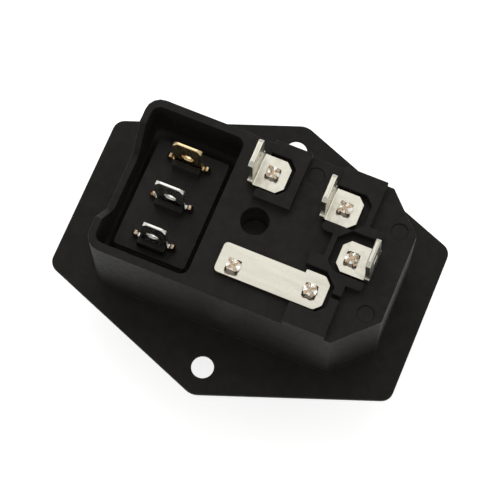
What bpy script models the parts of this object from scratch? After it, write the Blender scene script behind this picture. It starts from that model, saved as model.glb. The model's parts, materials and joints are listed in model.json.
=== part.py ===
# Panel-mount power entry module: inlet, fuse drawer and rocker switch.
# Origin on the screw line, on the flange face that meets the panel.
# +X runs towards the inlet end, +Z towards the wiring side. Metres.
import math

import bmesh
import bpy
from mathutils import Matrix, Vector

# Clearances
GAP = 0.0002
SLIDE_GAP = 0.0003
PIVOT_GAP = 0.00005

# Flange
FLANGE_END_LAP = 0.00635
FLANGE_SIDE_LAP = 0.00023
FLANGE_THICK = 0.0030
FLANGE_RIM = 0.0008
FLANGE_INSET = 0.0012
FLANGE_CORNER_R = 0.0020
FLANGE_TIP_R = 0.0030
SCREW_PITCH = 0.0400
SCREW_EDGE = 0.00485
SCREW_HOLE_D = 0.0037
SCREW_SINK_D = 0.0062
SCREW_LAND = 0.0006

# Box behind the flange
BOX_DEPTH = 0.0189
BOX_OFFSET = 0.0012
BOX_CHAMFER = 0.0060
BOX_CORNER_R = 0.0025
SIDE_WALL = 0.00135
END_WALL = 0.00115
BAY_ROOM = 0.00165
BAY_WALL = 0.00198
INLET_WALL = 0.00207
BAY_CORNER_R = 0.0014
NOTCH_TOP = 0.0170
NOTCH_BOTTOM = 0.0098
NOTCH_SILL_Z = 0.0134
NOTCH_R = 0.0013
BLIND_HOLE_D = 0.0045
BLIND_HOLE_DEPTH = 0.0063
EJECTOR_D = 0.0027
EJECTOR_DEPTH = 0.00015
EJECTOR_EDGE = 0.0027
EJECTOR_Y = 0.0071

# Raised walls round the terminals
WALL_HEIGHT = 0.0016
WALL_THICK = 0.0015
WALL_CORNER_R = 0.0006
RIB_THICK = 0.0009
RIB_POCKET_LOW = 0.0013
STUB_GAP = 0.0005
RECESS_GAP = 0.00035
LOAD_ROOM_END = 0.0006
LINK_ROOM_END = 0.0007
LINK_ROOM_CHAMFER = 0.00195
NEUTRAL_ROOM_END = 0.0012
RECESS_CHAMFER = 0.0013
EARTH_ROOM_TOP = 0.0040
EARTH_ROOM_LOW = 0.0031
EARTH_ROOM_REACH = 0.0033
EARTH_ROOM_CHAMFER = 0.0018
EARTH_ARM = 0.0032

# Inlet
INLET_LENGTH = 0.0163
INLET_SIDE_WALL = 0.00125
INLET_END_WALL = 0.0016
INLET_CHAMFER = 0.0053
INLET_CORNER_R = 0.0015
INLET_BACK_WALL = 0.0043
PIN_SPACING = 0.0140
EARTH_OFFSET = 0.0040
PIN_WIDE = 0.0040
PIN_THIN = 0.0020
PIN_REACH = 0.0158
PIN_NOSE = 0.0008
PIN_ROOT = 0.0024
TAIL_WIDTH = 0.0019
TAIL_EDGE = 0.0002
TAIL_GAP = 0.0001
HEAD_RISE = 0.00035
GROOVE_WIDTH = 0.0005
GROOVE_DEPTH = 0.0003

# Terminals
SHEET = 0.0008
TAB_WIDTH = 0.0048
TAB_RISE = 0.0081
TAB_HOLE_D = 0.0018
TAB_HOLE_DROP = 0.0032
TAB_NOSE = 0.0007
PLATE_WIDTH = 0.0056
PLATE_FREE = 0.0025
PLATE_FOLD = 0.0032
PLATE_CHAMFER = 0.0011
LEDGE_HEIGHT = 0.0010
BEND_R = 0.0010
EARTH_PLATE_WIDTH = 0.0053
EARTH_FREE = 0.00215
EARTH_FOLD = 0.00375
EARTH_LEAN = 0.0003
LINK_WIDTH = 0.0051
LINK_END_WIDTH = 0.0057
LINK_REACH = 0.0026
LINK_EDGE = 0.00183
LINK_CORNER_R = 0.0007

# Fuse drawer and fuses
POCKET_WALL = 0.0015
DRAWER_FRONT = 0.0015
DRAWER_SIDE = 0.0011
DRAWER_END = 0.0014
DRAWER_CORNER_R = 0.0008
DRAWER_DIVIDER = 0.0005
NOTCH_PULL_WIDTH = 0.0080
NOTCH_PULL_DEPTH = 0.0011
NOTCH_PULL_HEIGHT = 0.0009
FUSE_D = 0.0052
FUSE_LENGTH = 0.0200
CAP_LENGTH = 0.0050
CAP_WALL = 0.0002
CAP_END = 0.0004
GLASS_WALL = 0.0005
FUSE_WIRE_D = 0.0003
CONTACT_INSET = 0.00198
LEAF_ROOM = 0.0010
LEAF_THICK = 0.00035
LEAF_WIDTH = 0.0035
LEAF_HALF = 0.0019
LEAF_FLAT = 0.0011
LEAF_BOW = 0.00035

# Switch
SWITCH_LENGTH = 0.0190
SWITCH_WIDTH = 0.0122
SWITCH_BACK_Z = 0.01215
SWITCH_WALL = 0.0009
SWITCH_BACK_WALL = 0.00125
SWITCH_CORNER_R = 0.0005
BEZEL_END_LAP = 0.0010
BEZEL_SIDE_LAP = 0.0014
BEZEL_THICK = 0.0016
BEZEL_EDGE = 0.0004
BEZEL_CORNER_R = 0.0012
CLIP_WIDTH = 0.0040
CLIP_REACH = 0.0007
CLIP_LENGTH = 0.0045
BLADE_EDGE = 0.0025
BLADE_TIP_Z = 0.0202
BLADE_STEM = 0.0040
BLADE_HOLE_D = 0.0021
BLADE_HOLE_DROP = 0.0041
BLADE_NOSE_THIN = 0.0002
NARROW_TIP = 0.0039
SHOULDER_WIDTH = 0.0073
SHOULDER_HEIGHT = 0.0007
KNOB_LENGTH = 0.0010
KNOB_HEIGHT = 0.0013
KNOB_EDGE = 0.0003
BOSS_WIDTH = 0.0047
BOSS_DEPTH = 0.0010
BOSS_HEIGHT = 0.0020
PIVOT_Z = -0.0026
PIVOT_D = 0.0018
ROCKER_TILT = 11.0
ROCKER_ROOM = 0.0009
ROCKER_RISE = 0.0040
ROCKER_DISH = 0.0028
ROCKER_BEND = 0.0035
ROCKER_BEND_RISE = 0.0003
ROCKER_SKIRT = 0.0004
STEM_HALF = 0.0022
STEM_END = 0.0044
BORE_D = 0.0028
BORE_END = -0.0006
PLUNGER_D = 0.0024
PLUNGER_BACK = 0.0024
PLUNGER_TIP = 0.0062
TIP_LENGTH = 0.0010
TIP_SHARE = 0.8
TIP_FLAT = 0.35
SPRING_D = 0.0022
SPRING_WIRE = 0.00035
SPRING_TURNS = 5
MARK_THICK = 0.00015
MARK_LIFT = 0.00004
MARK_LENGTH = 0.0026
MARK_WIDTH = 0.0006
RING_WIDTH = 0.0005
LEVER_Z = 0.0046
LEVER_TILT = 8.0
LEVER_END = 0.0010
LEVER_WIDTH = 0.0040
LEVER_THICK = 0.0006
BUTTON_INSET = 0.0018
BUTTON_D = 0.0022
BUTTON_HEIGHT = 0.0005

# Sizes and positions that follow from them
CHAMBER = FUSE_D + 2 * GAP
POCKET_LENGTH = CHAMBER + 2 * (DRAWER_SIDE + SLIDE_GAP)
POCKET_WIDTH = FUSE_LENGTH + 2 * (GAP + DRAWER_END + SLIDE_GAP)
POCKET_FLOOR_Z = DRAWER_FRONT + 2 * CHAMBER + DRAWER_DIVIDER + LEAF_ROOM - FLANGE_THICK
BOX_WIDTH = POCKET_WIDTH + 2 * POCKET_WALL
INLET_WIDTH = BOX_WIDTH - 2 * INLET_SIDE_WALL
BAY_LENGTH = SWITCH_WIDTH + 2 * BAY_ROOM
BOX_LENGTH = END_WALL + BAY_LENGTH + BAY_WALL + POCKET_LENGTH + INLET_WALL + INLET_LENGTH + INLET_END_WALL
FLANGE_LENGTH = BOX_LENGTH + 2 * FLANGE_END_LAP
FLANGE_END_WIDTH = BOX_WIDTH + 2 * FLANGE_SIDE_LAP
FLANGE_SPAN = SCREW_PITCH + 2 * SCREW_EDGE
BOX_LOW_X = BOX_OFFSET - BOX_LENGTH / 2
BOX_HIGH_X = BOX_OFFSET + BOX_LENGTH / 2
BAY_X = BOX_LOW_X + END_WALL + BAY_LENGTH / 2
FUSE_X = BOX_LOW_X + END_WALL + BAY_LENGTH + BAY_WALL + POCKET_LENGTH / 2
INLET_X = BOX_HIGH_X - INLET_END_WALL - INLET_LENGTH / 2
LIVE_X = INLET_X - EARTH_OFFSET / 2
EARTH_X = INLET_X + EARTH_OFFSET / 2
INLET_FLOOR_Z = BOX_DEPTH - INLET_BACK_WALL
PLATE_Z = BOX_DEPTH + GAP
TAB_TIP_Z = BOX_DEPTH + TAB_RISE
HEAD_Z = PLATE_Z + SHEET + HEAD_RISE
WALL_Z = BOX_DEPTH + WALL_HEIGHT
CONTACT_SPACING = FUSE_LENGTH - 2 * CONTACT_INSET
LINK_LOW_Y = -CONTACT_SPACING / 2 - LINK_EDGE
ROCKER_HALF = SWITCH_LENGTH / 2 - SWITCH_WALL - ROCKER_ROOM
BLADE_PITCH = SWITCH_LENGTH / 2 - BLADE_EDGE
BUTTON_Y = BLADE_PITCH - BUTTON_INSET
LEVER_HALF = BUTTON_Y + LEVER_END
ROUND = 24


def clear_scene():
    for old in list(bpy.data.objects):
        bpy.data.objects.remove(old, do_unlink=True)


def material(name, rgb, roughness, metallic):
    mat = bpy.data.materials.new(name)
    mat.use_nodes = True
    shader = mat.node_tree.nodes["Principled BSDF"]
    shader.inputs["Base Color"].default_value = (*rgb, 1.0)
    shader.inputs["Roughness"].default_value = roughness
    shader.inputs["Metallic"].default_value = metallic
    mat.diffuse_color = (*rgb, 1.0)
    return mat


def black_plastic():
    return material("black plastic", (0.030, 0.029, 0.027), 0.45, 0.0)


def switch_plastic():
    return material("switch plastic", (0.045, 0.043, 0.041), 0.40, 0.0)


def mark_white():
    return material("mark white", (0.85, 0.85, 0.83), 0.5, 0.0)


def tinned():
    return material("tinned sheet", (0.78, 0.75, 0.68), 0.35, 1.0)


def brass():
    return material("brass", (0.80, 0.60, 0.35), 0.35, 1.0)


def nickel():
    return material("nickel", (0.70, 0.69, 0.66), 0.25, 1.0)


def steel():
    return material("spring steel", (0.55, 0.55, 0.56), 0.35, 1.0)


def clear_glass():
    return material("glass", (0.85, 0.88, 0.88), 0.05, 0.0)


def circle(cx, cy, radius, steps=ROUND):
    turn = 2 * math.pi / steps
    return [(cx + radius * math.cos(i * turn), cy + radius * math.sin(i * turn)) for i in range(steps)]


def box_outline(cx, cy, size_x, size_y):
    hx = size_x / 2
    hy = size_y / 2
    return [(cx - hx, cy - hy), (cx + hx, cy - hy), (cx + hx, cy + hy), (cx - hx, cy + hy)]


def rounded(corners, radii, steps=4):
    # swaps each corner of a convex or concave outline for an arc
    out = []
    count = len(corners)
    for i, corner in enumerate(corners):
        here = Vector(corner)
        before = (Vector(corners[i - 1]) - here).normalized()
        after = (Vector(corners[(i + 1) % count]) - here).normalized()
        radius = radii[i] if isinstance(radii, (list, tuple)) else radii
        if radius <= 0:
            out.append((here.x, here.y))
            continue
        half = math.acos(max(-1.0, min(1.0, before.dot(after)))) / 2
        centre = here + (before + after).normalized() * (radius / math.sin(half))
        first = here + before * (radius / math.tan(half)) - centre
        last = here + after * (radius / math.tan(half)) - centre
        angle = first.angle_signed(last)
        for k in range(steps + 1):
            arm = first.copy()
            arm.rotate(Matrix.Rotation(-angle * k / steps, 2))
            out.append((centre.x + arm.x, centre.y + arm.y))
    return out


def body(name, verts, faces):
    mesh = bpy.data.meshes.new(name)
    shape = bmesh.new()
    made = [shape.verts.new(v) for v in verts]
    for face in faces:
        shape.faces.new([made[i] for i in face])
    bmesh.ops.recalc_face_normals(shape, faces=shape.faces)
    shape.to_mesh(mesh)
    shape.free()
    obj = bpy.data.objects.new(name, mesh)
    bpy.context.scene.collection.objects.link(obj)
    return obj


def skin(name, loops):
    # closed solid through loops that all have the same number of points
    count = len(loops[0])
    verts = [point for loop in loops for point in loop]
    faces = [tuple(range(count)), tuple(range(len(verts) - count, len(verts)))]
    for row in range(len(loops) - 1):
        start = row * count
        for i in range(count):
            j = (i + 1) % count
            faces.append((start + i, start + j, start + count + j, start + count + i))
    return body(name, verts, faces)


def place(a, b, level, axis):
    if axis == "x":
        return (level, a, b)
    if axis == "y":
        return (a, level, b)
    return (a, b, level)


def prism(outline, low, high, axis="z", name="cut"):
    loops = [[place(a, b, level, axis) for a, b in outline] for level in (low, high)]
    return skin(name, loops)


def turned(profile, centre, axis="z", steps=ROUND, name="cut"):
    # profile runs from one end to the other as (radius, height)
    loops = []
    for radius, height in profile:
        loops.append([place(centre[0] + a, centre[1] + b, height, axis)
                      for a, b in circle(0, 0, radius, steps)])
    return skin(name, loops)


def tube(outer, inner, low, high, centre, axis, name):
    # open ring: outer wall up, inner wall down
    verts = []
    for radius, height in ((outer, low), (outer, high), (inner, high), (inner, low)):
        verts += [place(centre[0] + a, centre[1] + b, height, axis) for a, b in circle(0, 0, radius)]
    faces = []
    for row in range(4):
        for i in range(ROUND):
            j = (i + 1) % ROUND
            start = row * ROUND
            follow = ((row + 1) % 4) * ROUND
            faces.append((start + i, start + j, follow + j, follow + i))
    return body(name, verts, faces)


def merge(target, tool, operation):
    change = target.modifiers.new("step", "BOOLEAN")
    change.operation = operation
    change.solver = "EXACT"
    change.object = tool
    view = bpy.context.evaluated_depsgraph_get()
    mesh = bpy.data.meshes.new_from_object(target.evaluated_get(view))
    target.modifiers.clear()
    old = target.data
    target.data = mesh
    bpy.data.meshes.remove(old)
    bpy.data.objects.remove(tool, do_unlink=True)
    return target


def cut(target, *tools):
    for tool in tools:
        merge(target, tool, "DIFFERENCE")
    return target


def add(target, *tools):
    for tool in tools:
        merge(target, tool, "UNION")
    return target


def finish(obj, name, mat, parent=None):
    obj.name = name
    obj.data.name = name
    obj.data.materials.clear()
    obj.data.materials.append(mat)
    for face in obj.data.polygons:
        face.use_smooth = True
        face.material_index = 0
    obj.data.set_sharp_from_angle(angle=math.radians(32))
    if parent is not None:
        obj.parent = parent
    return obj


def flange_outline(inset):
    # long hexagon, moved in by the same distance on every side
    slope = (FLANGE_SPAN - FLANGE_END_WIDTH) / FLANGE_LENGTH
    half_x = FLANGE_LENGTH / 2 - inset
    tip_y = FLANGE_SPAN / 2 - inset * math.hypot(1.0, slope)
    side_y = tip_y - slope * half_x
    corners = [(half_x, -side_y), (half_x, side_y), (0, tip_y),
               (-half_x, side_y), (-half_x, -side_y), (0, -tip_y)]
    corner_r = FLANGE_CORNER_R - inset / 2
    tip_r = FLANGE_TIP_R - inset / 2
    return rounded(corners, [corner_r, corner_r, tip_r, corner_r, corner_r, tip_r], 5)


def flange():
    levels = ((0, 0), (-FLANGE_RIM, 0), (-FLANGE_THICK, FLANGE_INSET))
    return skin("flange", [[(x, y, z) for x, y in flange_outline(inset)] for z, inset in levels])


def box_corners():
    half = BOX_WIDTH / 2
    corners = [(BOX_LOW_X, -half), (BOX_HIGH_X - BOX_CHAMFER, -half),
               (BOX_HIGH_X, -half + BOX_CHAMFER), (BOX_HIGH_X, half - BOX_CHAMFER),
               (BOX_HIGH_X - BOX_CHAMFER, half), (BOX_LOW_X, half)]
    return rounded(corners, [BOX_CORNER_R, 0, 0, 0, 0, BOX_CORNER_R])


def room_outline(shut, far, low, high, low_chamfer, high_chamfer):
    # room round a plate, shut at one end with both corners cut off
    side = 1 if far > shut else -1
    return [(far, low), (shut + side * low_chamfer, low), (shut, low + low_chamfer),
            (shut, high - high_chamfer), (shut + side * high_chamfer, high), (far, high)]


def span_outline(low_x, high_x, low_y, high_y):
    return [(low_x, low_y), (high_x, low_y), (high_x, high_y), (low_x, high_y)]


def raised(outline):
    return prism(outline, BOX_DEPTH - WALL_HEIGHT, WALL_Z)


def clearing(outline):
    return prism(outline, BOX_DEPTH - 2 * WALL_HEIGHT, WALL_Z + WALL_HEIGHT)


def load_wall():
    # stands round three sides of the switched terminal
    y = CONTACT_SPACING / 2
    half = PLATE_WIDTH / 2 + RECESS_GAP
    shut = FUSE_X + PLATE_FREE + LOAD_ROOM_END
    left = FUSE_X - WALL_THICK
    block = raised(span_outline(left, shut + WALL_THICK, y - half - WALL_THICK, BOX_WIDTH / 2))
    far = left - WALL_THICK
    return cut(block, clearing(room_outline(shut, far, y - half, y + half, RECESS_CHAMFER, RECESS_CHAMFER)))


def inlet_walls():
    # one frame round the line, neutral and earth plates
    live_y = PIN_SPACING / 2
    half = PLATE_WIDTH / 2 + RECESS_GAP
    left = LIVE_X - PLATE_FREE + GAP
    shut = LIVE_X + PLATE_FREE + LINK_ROOM_END
    neutral_shut = LIVE_X + PLATE_FREE + NEUTRAL_ROOM_END
    right = shut + WALL_THICK
    far = left - WALL_THICK
    past = right + 2 * PLATE_FOLD
    arm_end = EARTH_X + EARTH_ARM
    arm_top = EARTH_ROOM_TOP + WALL_THICK
    arm_low = -EARTH_ROOM_LOW - WALL_THICK
    rib = EARTH_X - EARTH_ROOM_REACH - RIB_THICK
    bar_low = EARTH_ROOM_TOP - WALL_THICK
    bar_high = live_y - half + GAP
    block = raised(span_outline(left, right, -BOX_WIDTH / 2, BOX_WIDTH / 2))
    r = WALL_CORNER_R
    add(block, raised(rounded(span_outline(right - GAP, arm_end, arm_low, arm_top), [0, r, r, 0])))
    cut(block,
        clearing(room_outline(neutral_shut, far, bar_high, live_y + half, RECESS_CHAMFER, RECESS_CHAMFER)),
        clearing(room_outline(shut, far, LINK_LOW_Y - SLIDE_GAP, -live_y + half + RECESS_GAP,
                              RECESS_CHAMFER, LINK_ROOM_CHAMFER)),
        clearing(room_outline(EARTH_X - EARTH_ROOM_REACH, past, -EARTH_ROOM_LOW, EARTH_ROOM_TOP,
                              RECESS_CHAMFER, EARTH_ROOM_CHAMFER)),
        clearing(span_outline(far, rib, -RIB_POCKET_LOW, bar_low)),
        clearing(span_outline(far, left + WALL_THICK, bar_low - GAP, bar_high + GAP)),
        clearing(span_outline(shut - GAP, past, -live_y - GAP, -live_y + STUB_GAP)))
    end = rounded(span_outline(left, rib, bar_low, bar_high), [WALL_THICK / 2, 0, 0, WALL_THICK / 2])
    return add(block, raised(end))


def terminal_walls(housing):
    add(housing, load_wall(), inlet_walls())


def bay_cutter():
    outline = rounded(box_outline(BAY_X, 0, BAY_LENGTH, BOX_WIDTH - 2 * SIDE_WALL), BAY_CORNER_R)
    return prism(outline, 0, WALL_Z)


def notch_cutter():
    top = NOTCH_TOP / 2
    bottom = NOTCH_BOTTOM / 2
    corners = [(-bottom, NOTCH_SILL_Z), (bottom, NOTCH_SILL_Z), (top, BOX_DEPTH), (top, WALL_Z),
               (-top, WALL_Z), (-top, BOX_DEPTH)]
    outline = rounded(corners, [NOTCH_R, NOTCH_R, 0, 0, 0, 0])
    return prism(outline, BOX_LOW_X - END_WALL, BOX_LOW_X + 2 * END_WALL, "x")


def inlet_cutter():
    low = INLET_X - INLET_LENGTH / 2
    high = INLET_X + INLET_LENGTH / 2
    half = INLET_WIDTH / 2
    corners = [(low, -half), (high - INLET_CHAMFER, -half), (high, -half + INLET_CHAMFER),
               (high, half - INLET_CHAMFER), (high - INLET_CHAMFER, half), (low, half)]
    outline = rounded(corners, [INLET_CORNER_R, 0, 0, 0, 0, INLET_CORNER_R])
    return prism(outline, -2 * FLANGE_THICK, INLET_FLOOR_Z)


def screw_cutter(y):
    # plain hole, cone and recess for a countersunk screw
    hole = SCREW_HOLE_D / 2
    sink = SCREW_SINK_D / 2
    cone = -SCREW_LAND - (sink - hole)
    profile = [(sink, -2 * FLANGE_THICK), (sink, cone), (hole, -SCREW_LAND), (hole, FLANGE_THICK)]
    return turned(profile, (0, y))


def square_hole(x, y, width, low, high):
    return prism(box_outline(x, y, width, width), low, high)


def pin_slot(x, y):
    top = INLET_FLOOR_Z + PIN_ROOT + GAP
    slot = prism(box_outline(x, y, PIN_WIDE + 2 * GAP, PIN_THIN + 2 * GAP), INLET_FLOOR_Z - PIN_ROOT, top)
    return add(slot, square_hole(x, y, TAIL_WIDTH + 2 * GAP, top - PIN_ROOT / 2, WALL_Z))


def make_housing():
    housing = add(flange(), prism(box_corners(), -FLANGE_RIM, BOX_DEPTH))
    terminal_walls(housing)
    cut(housing, bay_cutter(), notch_cutter(), inlet_cutter())
    opening = box_outline(BAY_X, 0, SWITCH_WIDTH + 2 * GAP, SWITCH_LENGTH + 2 * GAP)
    cut(housing, prism(opening, -2 * FLANGE_THICK, FLANGE_THICK))
    pocket = rounded(box_outline(FUSE_X, 0, POCKET_LENGTH, POCKET_WIDTH), DRAWER_CORNER_R, 2)
    cut(housing, prism(pocket, -2 * FLANGE_THICK, POCKET_FLOOR_Z))
    for side in (-1, 1):
        cut(housing, screw_cutter(side * SCREW_PITCH / 2))
        cut(housing, pin_slot(LIVE_X, side * PIN_SPACING / 2))
        y = side * CONTACT_SPACING / 2
        cut(housing, square_hole(FUSE_X, y, TAIL_WIDTH + 2 * GAP, POCKET_FLOOR_Z - SHEET, WALL_Z))
    cut(housing, pin_slot(EARTH_X, 0))
    blind = BLIND_HOLE_D / 2
    cut(housing, turned([(blind, BOX_DEPTH - BLIND_HOLE_DEPTH), (blind, WALL_Z)], (FUSE_X + GAP, GAP)))
    spot = EJECTOR_D / 2
    corner = BOX_HIGH_X - EJECTOR_EDGE
    middle = (FUSE_X + LIVE_X) / 2
    for x, y in ((middle, BOX_WIDTH / 2 - EJECTOR_EDGE), (corner, EJECTOR_Y), (corner, -EJECTOR_Y)):
        cut(housing, turned([(spot, BOX_DEPTH - EJECTOR_DEPTH), (spot, WALL_Z)], (x, y)))
    return finish(housing, "housing", black_plastic())


def staked_tail(x, y, low):
    # square tail with a cross punched into its head, from corner to corner
    loops = []
    for level, shrink in ((low, 0), (HEAD_Z - HEAD_RISE, 0), (HEAD_Z, HEAD_RISE)):
        width = TAIL_WIDTH - shrink
        loops.append([(a, b, level) for a, b in rounded(box_outline(x, y, width, width), TAIL_EDGE, 1)])
    tail = skin("tail", loops)
    mouth = HEAD_Z + GROOVE_DEPTH
    for angle in (45, -45):
        outline = [(-GROOVE_WIDTH, mouth), (0, HEAD_Z - GROOVE_DEPTH), (GROOVE_WIDTH, mouth)]
        groove = prism(outline, -TAIL_WIDTH, TAIL_WIDTH, "x")
        groove.data.transform(Matrix.Translation((x, y, 0)) @ Matrix.Rotation(math.radians(angle), 4, "Z"))
        cut(tail, groove)
    return tail


def make_pin(name, x, y):
    tip = INLET_FLOOR_Z - PIN_REACH
    root = INLET_FLOOR_Z + PIN_ROOT
    loops = []
    for level, shrink in ((tip, PIN_NOSE), (tip + PIN_NOSE, 0), (root, 0)):
        outline = box_outline(x, y, PIN_WIDE - shrink, PIN_THIN - shrink)
        loops.append([(a, b, level) for a, b in outline])
    pin = add(skin("pin", loops), staked_tail(x, y, root - PIN_NOSE))
    return finish(pin, name, nickel())


def tail_hole(x, y):
    return square_hole(x, y, TAIL_WIDTH + 2 * TAIL_GAP, BOX_DEPTH - SHEET, PLATE_Z + 2 * SHEET)


def folded_outline(free, fold, side, lean):
    # section of a sheet that lies flat, then turns up at the fold
    top = PLATE_Z + SHEET
    inner = fold - side * SHEET
    tip = -side * lean
    out = [(free, PLATE_Z)]
    for angle in (0, 30, 60, 90):
        a = math.radians(angle)
        out.append((fold - side * BEND_R * (1 - math.sin(a)), PLATE_Z + BEND_R * (1 - math.cos(a))))
    out += [(fold + tip, TAB_TIP_Z), (inner + tip, TAB_TIP_Z), (inner, top + GAP), (inner - side * GAP, top)]
    return out + [(free, top)]


def make_tab_terminal(name, x, y, side, width=PLATE_WIDTH, reach=PLATE_FREE, fold=PLATE_FOLD, lean=0.0):
    # sheet folded up on one side of its staked plate
    free = x - side * reach
    top = PLATE_Z + SHEET
    half = width / 2
    sheet = prism(folded_outline(free, x + side * fold, side, lean), y - half, y + half, "y", "sheet")
    ledge = top + LEDGE_HEIGHT
    low_x = x + side * fold - 3 * SHEET
    high_x = x + side * fold + 3 * SHEET
    for hand in (-1, 1):
        edge = y + hand * TAB_WIDTH / 2
        wide = y + hand * width
        tip = edge - hand * TAB_NOSE
        above = TAB_TIP_Z + TAB_NOSE
        outline = [(edge, ledge), (wide, ledge), (wide, above), (tip - hand * TAB_NOSE, above),
                   (tip, TAB_TIP_Z), (edge, TAB_TIP_Z - TAB_NOSE)]
        cut(sheet, prism(outline, low_x, high_x, "x"))
        corner = [(free - side * SHEET, y + hand * (half - PLATE_CHAMFER - SHEET)),
                  (free + side * (PLATE_CHAMFER + SHEET), y + hand * (half + SHEET)),
                  (free - side * SHEET, y + hand * (half + SHEET))]
        cut(sheet, prism(corner, BOX_DEPTH - SHEET, top + SHEET))
    hole = circle(y, TAB_TIP_Z - TAB_HOLE_DROP, TAB_HOLE_D / 2, 20)
    cut(sheet, prism(hole, low_x, high_x, "x"), tail_hole(x, y))
    return finish(sheet, name, tinned())


def make_link_plate():
    y_live = -PIN_SPACING / 2
    low = LINK_LOW_Y
    high = y_live + LINK_END_WIDTH / 2
    strip = low + LINK_WIDTH
    left = FUSE_X - LINK_REACH
    right = LIVE_X + PLATE_FREE
    step = LIVE_X - PLATE_FREE + LINK_CORNER_R
    corners = [(left, low), (right - PLATE_CHAMFER, low), (right, low + PLATE_CHAMFER),
               (right, high - PLATE_CHAMFER), (right - PLATE_CHAMFER, high), (step, high),
               (step, strip), (left, strip)]
    r = LINK_CORNER_R
    outline = rounded(corners, [r, r, r, r, r, r / 3, 0, r], 3)
    plate = prism(outline, PLATE_Z, PLATE_Z + SHEET, name="link")
    cut(plate, tail_hole(FUSE_X, -CONTACT_SPACING / 2), tail_hole(LIVE_X, y_live))
    return finish(plate, "link_plate", tinned())


def make_fuse_contact(name, side):
    # bowed leaf under the pocket floor, held by its own staked tail
    y = side * CONTACT_SPACING / 2
    top = POCKET_FLOOR_Z - GAP
    upper = [(y + LEAF_HALF, top - LEAF_BOW), (y + LEAF_FLAT, top), (y - LEAF_FLAT, top),
             (y - LEAF_HALF, top - LEAF_BOW)]
    lower = [(a, b - LEAF_THICK) for a, b in reversed(upper)]
    leaf = prism(upper + lower, FUSE_X - LEAF_WIDTH / 2, FUSE_X + LEAF_WIDTH / 2, "x", "leaf")
    add(leaf, staked_tail(FUSE_X, y, top - LEAF_THICK - GAP / 2))
    return finish(leaf, name, nickel())


def fuse_levels():
    # centre heights of the working fuse and the spare in the drawer
    spare_low = DRAWER_FRONT - FLANGE_THICK
    work_low = spare_low + CHAMBER + DRAWER_DIVIDER
    return spare_low + CHAMBER / 2, work_low + CHAMBER / 2


def make_drawer():
    half_x = POCKET_LENGTH / 2 - SLIDE_GAP
    half_y = POCKET_WIDTH / 2 - SLIDE_GAP
    outline = rounded(box_outline(FUSE_X, 0, 2 * half_x, 2 * half_y), DRAWER_CORNER_R - GAP, 2)
    drawer = prism(outline, -FLANGE_THICK, POCKET_FLOOR_Z - SLIDE_GAP, name="drawer")
    spare, work = fuse_levels()
    length = FUSE_LENGTH + 2 * GAP
    cut(drawer, prism(box_outline(FUSE_X, 0, CHAMBER, length), work - CHAMBER / 2, POCKET_FLOOR_Z + SHEET))
    low_x = FUSE_X - CHAMBER / 2
    high_x = FUSE_X + POCKET_LENGTH
    side_outline = box_outline((low_x + high_x) / 2, spare, high_x - low_x, CHAMBER)
    cut(drawer, prism(side_outline, -length / 2, length / 2, "y"))
    pull = box_outline(FUSE_X + half_x, 0, 2 * NOTCH_PULL_DEPTH, NOTCH_PULL_WIDTH)
    cut(drawer, prism(pull, -2 * FLANGE_THICK, NOTCH_PULL_HEIGHT - FLANGE_THICK))
    return finish(drawer, "fuse_drawer", black_plastic())


def make_fuse(names, level, parent):
    glass, cap_low, cap_high, wire = names
    centre = (FUSE_X, level)
    outer = FUSE_D / 2 - CAP_WALL - GAP / 2
    reach = FUSE_LENGTH / 2 - CAP_END - GAP
    finish(tube(outer, outer - GLASS_WALL, -reach, reach, centre, "y", glass), glass, clear_glass(), parent)
    for name, side in ((cap_low, -1), (cap_high, 1)):
        end = side * FUSE_LENGTH / 2
        mouth = side * (FUSE_LENGTH / 2 - CAP_LENGTH)
        r = FUSE_D / 2
        bore_r = r - CAP_WALL
        rim = side * CAP_END
        cap = turned([(r, mouth), (r, end - rim / 2), (r - CAP_END / 2, end)], centre, "y", name=name)
        bore = turned([(bore_r, mouth - rim), (bore_r, end - rim)], centre, "y")
        finish(cut(cap, bore), name, nickel(), parent)
    thin = FUSE_WIRE_D / 2
    finish(turned([(thin, -reach), (thin, reach)], centre, "y", 8, wire), wire, nickel(), parent)


def switch_outline(length, width, radius):
    return rounded(box_outline(BAY_X, 0, width, length), radius, 3)


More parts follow.
